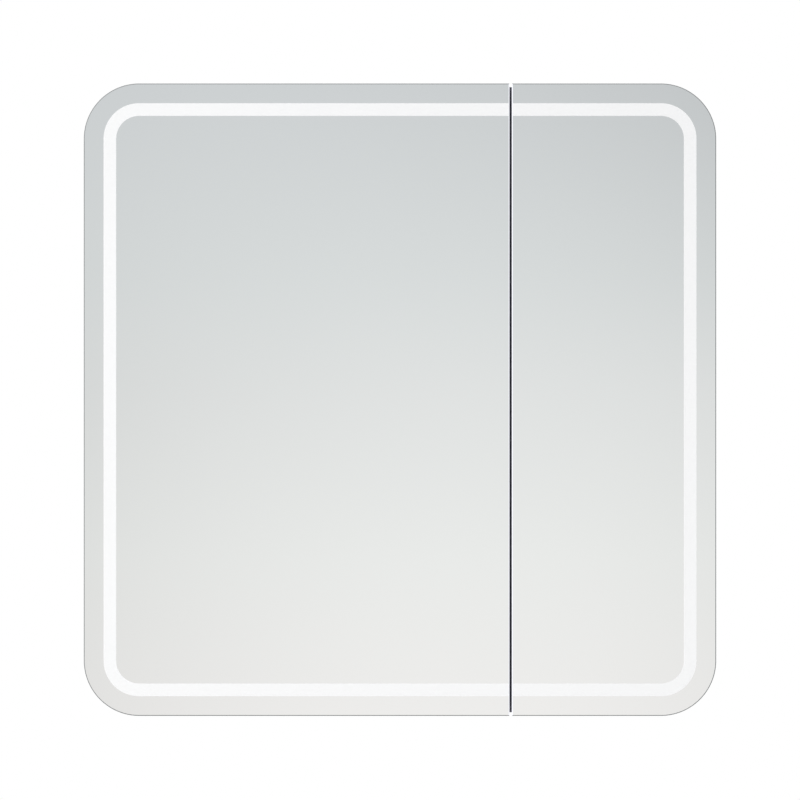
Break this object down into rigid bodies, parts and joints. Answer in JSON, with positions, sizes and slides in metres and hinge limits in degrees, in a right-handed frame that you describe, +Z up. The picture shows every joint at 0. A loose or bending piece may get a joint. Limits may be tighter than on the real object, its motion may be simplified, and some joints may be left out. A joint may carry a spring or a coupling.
{
  "type": "medicine cabinet with mirror",
  "caption": "Wall-hung bathroom cabinet with rounded corners, a wide and a narrow mirrored door, a lit frosted band near the edge, glass shelves and a light switch underneath.",
  "frame": {"origin": "middle of the hanging rail's rear face, on the wall plane, level with the keyhole hangers", "axes": "+Z up, +Y into the wall, +X to the right seen from the front; the mirrors face -Y"},
  "size_m": [0.8, 0.15, 0.8004],
  "materials": {
    "silvered_mirror": "silvered float glass with a frosted band",
    "white_board": "white melamine, satin",
    "shelf_glass": "clear float glass, polished edges",
    "nickel_plated_steel": "nickel plated, satin",
    "zinc_plated_steel": "bright zinc plated",
    "opal_diffuser": "opal acrylic, matt",
    "light_tape": "white flexible circuit tape",
    "white_plastic": "white moulded, fine spark texture",
    "dark_rubber": "dark grey-blue, matt",
    "clear_rubber": "clear soft bumper"
  },
  "bodies": {
    "carcass": {"back_panel": "white_board", "bottom_panel": "white_board", "corner_post_bottom_left": "white_board", "corner_post_bottom_right": "white_board", "corner_post_top_left": "white_board", "corner_post_top_right": "white_board", "divider_panel": "white_board", "divider_seal": "dark_rubber", "hanger_plate_left": "zinc_plated_steel", "hanger_plate_right": "zinc_plated_steel", "hanging_rail": "white_board", "lead_grommet_left": "dark_rubber", "lead_grommet_right": "dark_rubber", "left_hinge_bottom_arm": "nickel_plated_steel", "left_hinge_bottom_plate": "zinc_plated_steel", "left_hinge_middle_arm": "nickel_plated_steel", "left_hinge_middle_plate": "zinc_plated_steel", "left_hinge_top_arm": "nickel_plated_steel", "left_hinge_top_plate": "zinc_plated_steel", "light_driver": "white_plastic", "lower_rail": "white_board", "mains_terminal_block": "white_plastic", "narrow_shelf_lower": "shelf_glass", "narrow_shelf_upper": "shelf_glass", "right_hinge_bottom_arm": "nickel_plated_steel", "right_hinge_bottom_plate": "zinc_plated_steel", "right_hinge_top_arm": "nickel_plated_steel", "right_hinge_top_plate": "zinc_plated_steel", "side_panel_left": "white_board", "side_panel_right": "white_board", "switch_frame": "white_plastic", "top_panel": "white_board", "wide_shelf_lower": "shelf_glass", "wide_shelf_upper": "shelf_glass"},
    "left_door": {"left_door_bumper_bottom": "clear_rubber", "left_door_bumper_top": "clear_rubber", "left_door_core": "white_board", "left_hinge_bottom_housing": "nickel_plated_steel", "left_hinge_bottom_pin": "zinc_plated_steel", "left_hinge_middle_housing": "nickel_plated_steel", "left_hinge_middle_pin": "zinc_plated_steel", "left_hinge_top_housing": "nickel_plated_steel", "left_hinge_top_pin": "zinc_plated_steel", "left_light_diffuser": "opal_diffuser", "left_light_tape": "light_tape", "left_mirror": "silvered_mirror"},
    "right_door": {"right_door_bumper_bottom": "clear_rubber", "right_door_bumper_top": "clear_rubber", "right_door_core": "white_board", "right_hinge_bottom_housing": "nickel_plated_steel", "right_hinge_bottom_pin": "zinc_plated_steel", "right_hinge_top_housing": "nickel_plated_steel", "right_hinge_top_pin": "zinc_plated_steel", "right_light_diffuser": "opal_diffuser", "right_light_tape": "light_tape", "right_mirror": "silvered_mirror"},
    "rocker": {"switch_rocker": "white_plastic"}
  },
  "joints": [
    {"name": "left_door_swing", "type": "hinge", "parent": "carcass", "child": "left_door", "pos_m": [-0.3925, -0.135, -0.29], "axis": [0, 0, -1], "range_deg": [0, 100]},
    {"name": "right_door_swing", "type": "hinge", "parent": "carcass", "child": "right_door", "pos_m": [0.3925, -0.135, -0.29], "axis": [0, 0, 1], "range_deg": [0, 100]},
    {"name": "rocker_tilt", "type": "hinge", "parent": "carcass", "child": "rocker", "pos_m": [0.3, -0.0945, -0.685], "axis": [0, -1, 0], "range_deg": [0, 18]}
  ]
}
